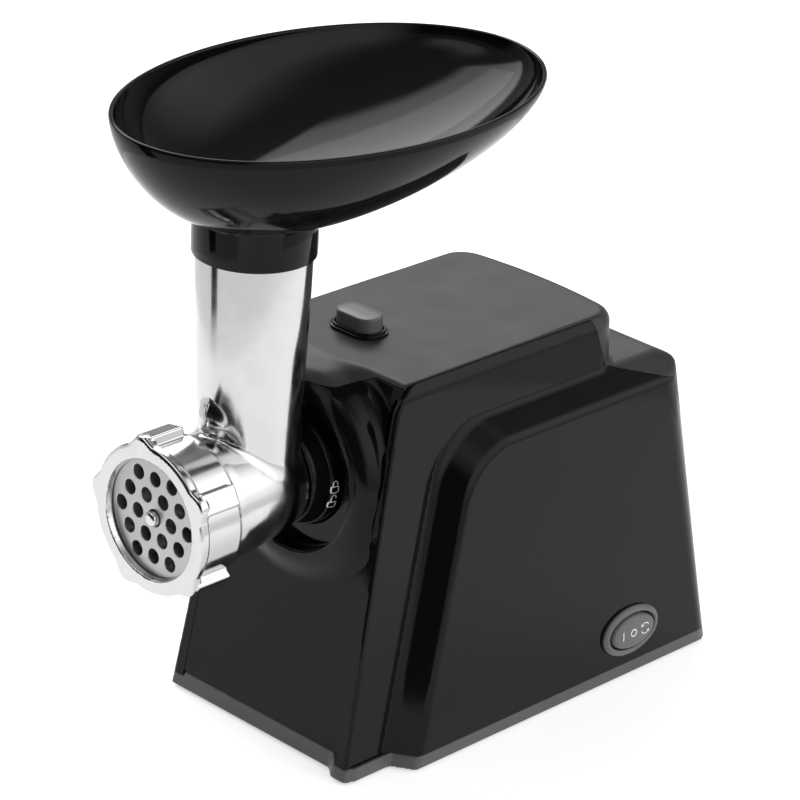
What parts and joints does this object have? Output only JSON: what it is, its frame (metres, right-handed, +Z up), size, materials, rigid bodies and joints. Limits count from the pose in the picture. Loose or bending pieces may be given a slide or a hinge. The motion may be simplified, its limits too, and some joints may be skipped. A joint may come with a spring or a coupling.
{
  "type": "electric meat grinder",
  "caption": "Electric meat grinder: black housing with motor and gear train, cast head with auger, knife and perforated plate held by a ring nut, and an oval feed tray on top.",
  "frame": {"origin": "on the table under the middle of the whole object", "axes": "+Z up, -Y towards the front, where the cutting plate faces, +X towards the side with the switch"},
  "size_m": [0.1657, 0.3435, 0.3363],
  "materials": {
    "gloss_black": "high-gloss moulded black",
    "satin_black": "fine satin texture, black",
    "base_grey": "satin dark grey",
    "control_grey": "satin mid grey",
    "rubber_black": "matt",
    "cast_aluminium": "polished casting",
    "satin_steel": "ground",
    "steel": "bright zinc",
    "lamination_steel": "stacked laminations",
    "brass": "turned",
    "copper": "enamelled copper wire",
    "nylon_white": "natural nylon",
    "carbon": "carbon"
  },
  "bodies": {
    "housing": {"base_tray": "base_grey", "front_panel": "gloss_black", "top_rear_cover": "satin_black", "side_panel_left": "gloss_black", "side_panel_right": "gloss_black", "foot_1": "rubber_black", "foot_2": "rubber_black", "foot_3": "rubber_black", "foot_4": "rubber_black", "base_screw_1": "steel", "base_screw_2": "steel", "base_screw_3": "steel", "base_screw_4": "steel", "lock_collar": "gloss_black", "button_bezel": "rubber_black", "button_spring": "steel", "switch_bezel": "control_grey", "switch_body": "satin_black", "cord_inlet": "rubber_black", "gearbox_housing": "nylon_white", "gearbox_cover": "nylon_white", "gearbox_screw_1": "steel", "gearbox_screw_2": "steel", "gearbox_screw_3": "steel", "first_gear_pin": "steel", "second_gear_pin": "steel", "output_bush": "brass", "motor_stator": "lamination_steel", "field_coil_upper": "copper", "field_coil_lower": "copper", "front_bracket": "cast_aluminium", "rear_bracket": "cast_aluminium", "front_bearing": "brass", "rear_bearing": "brass", "brush_holder_left": "brass", "brush_holder_right": "brass", "carbon_brush_left": "carbon", "carbon_brush_right": "carbon", "motor_bolt_left": "steel", "motor_bolt_right": "steel"},
    "rotor": {"armature": "copper", "commutator": "copper", "cooling_fan": "nylon_white", "motor_pinion": "steel"},
    "first_gear": {"first_gear": "nylon_white"},
    "second_gear": {"second_gear": "steel"},
    "output": {"output_gear": "steel", "drive_shaft": "steel", "auger": "cast_aluminium", "knife": "satin_steel"},
    "head": {"grinder_head": "cast_aluminium", "auger_bush": "nylon_white"},
    "plate": {"cutting_plate": "satin_steel"},
    "nut": {"ring_nut": "cast_aluminium"},
    "tray": {"tray": "gloss_black"},
    "rocker": {"switch_rocker": "control_grey"},
    "button": {"release_button": "control_grey"},
    "latch": {"latch_bolt": "steel"}
  },
  "joints": [
    {"name": "motor_spin", "type": "hinge", "parent": "housing", "child": "rotor", "pos_m": [-0.00001, 0.052, 0.07887], "axis": [0, 1, 0], "continuous": true},
    {"name": "first_gear_spin", "type": "hinge", "parent": "housing", "child": "first_gear", "pos_m": [0.01026, 0.002, 0.10706], "axis": [0, 1, 0], "continuous": true},
    {"name": "second_gear_spin", "type": "hinge", "parent": "housing", "child": "second_gear", "pos_m": [-0.01987, -0.013, 0.11346], "axis": [0, 1, 0], "continuous": true},
    {"name": "output_spin", "type": "hinge", "parent": "housing", "child": "output", "pos_m": [0, -0.038, 0.1436], "axis": [0, 1, 0], "continuous": true},
    {"name": "head_twist", "type": "hinge", "parent": "housing", "child": "head", "pos_m": [0, -0.068, 0.1436], "axis": [0, 1, 0], "range_deg": [0, 35]},
    {"name": "plate_slide", "type": "slide", "parent": "head", "child": "plate", "axis": [0, -1, 0], "range_m": [0, 0.012]},
    {"name": "nut_unscrew", "type": "hinge", "parent": "plate", "child": "nut", "pos_m": [0, -0.158, 0.1436], "axis": [0, -1, 0], "range_deg": [0, 1440]},
    {"name": "tray_lift", "type": "slide", "parent": "head", "child": "tray", "axis": [0, 0, 1], "range_m": [0, 0.08]},
    {"name": "switch_rock", "type": "hinge", "parent": "housing", "child": "rocker", "pos_m": [0.07751, 0.104, 0.02751], "axis": [-0.0469, 0, 0.9989], "range_deg": [-8, 8]},
    {"name": "button_press", "type": "slide", "parent": "housing", "child": "button", "axis": [0, 0, -1], "range_m": [0, 0.004], "stiffness_N_per_m": 800, "deforming": ["button_spring"]},
    {"name": "latch_slide", "type": "slide", "parent": "housing", "child": "latch", "axis": [0, 1, 0], "range_m": [0, 0.004]}
  ],
  "couplings": [
    {"joint": "first_gear_spin", "follows": "motor_spin", "ratio": -0.2},
    {"joint": "second_gear_spin", "follows": "motor_spin", "ratio": 0.044444},
    {"joint": "output_spin", "follows": "motor_spin", "ratio": -0.011852},
    {"joint": "plate_slide", "follows": "nut_unscrew", "m_per_rad": 0.00047746},
    {"joint": "latch_slide", "follows": "button_press", "ratio": 1}
  ]
}
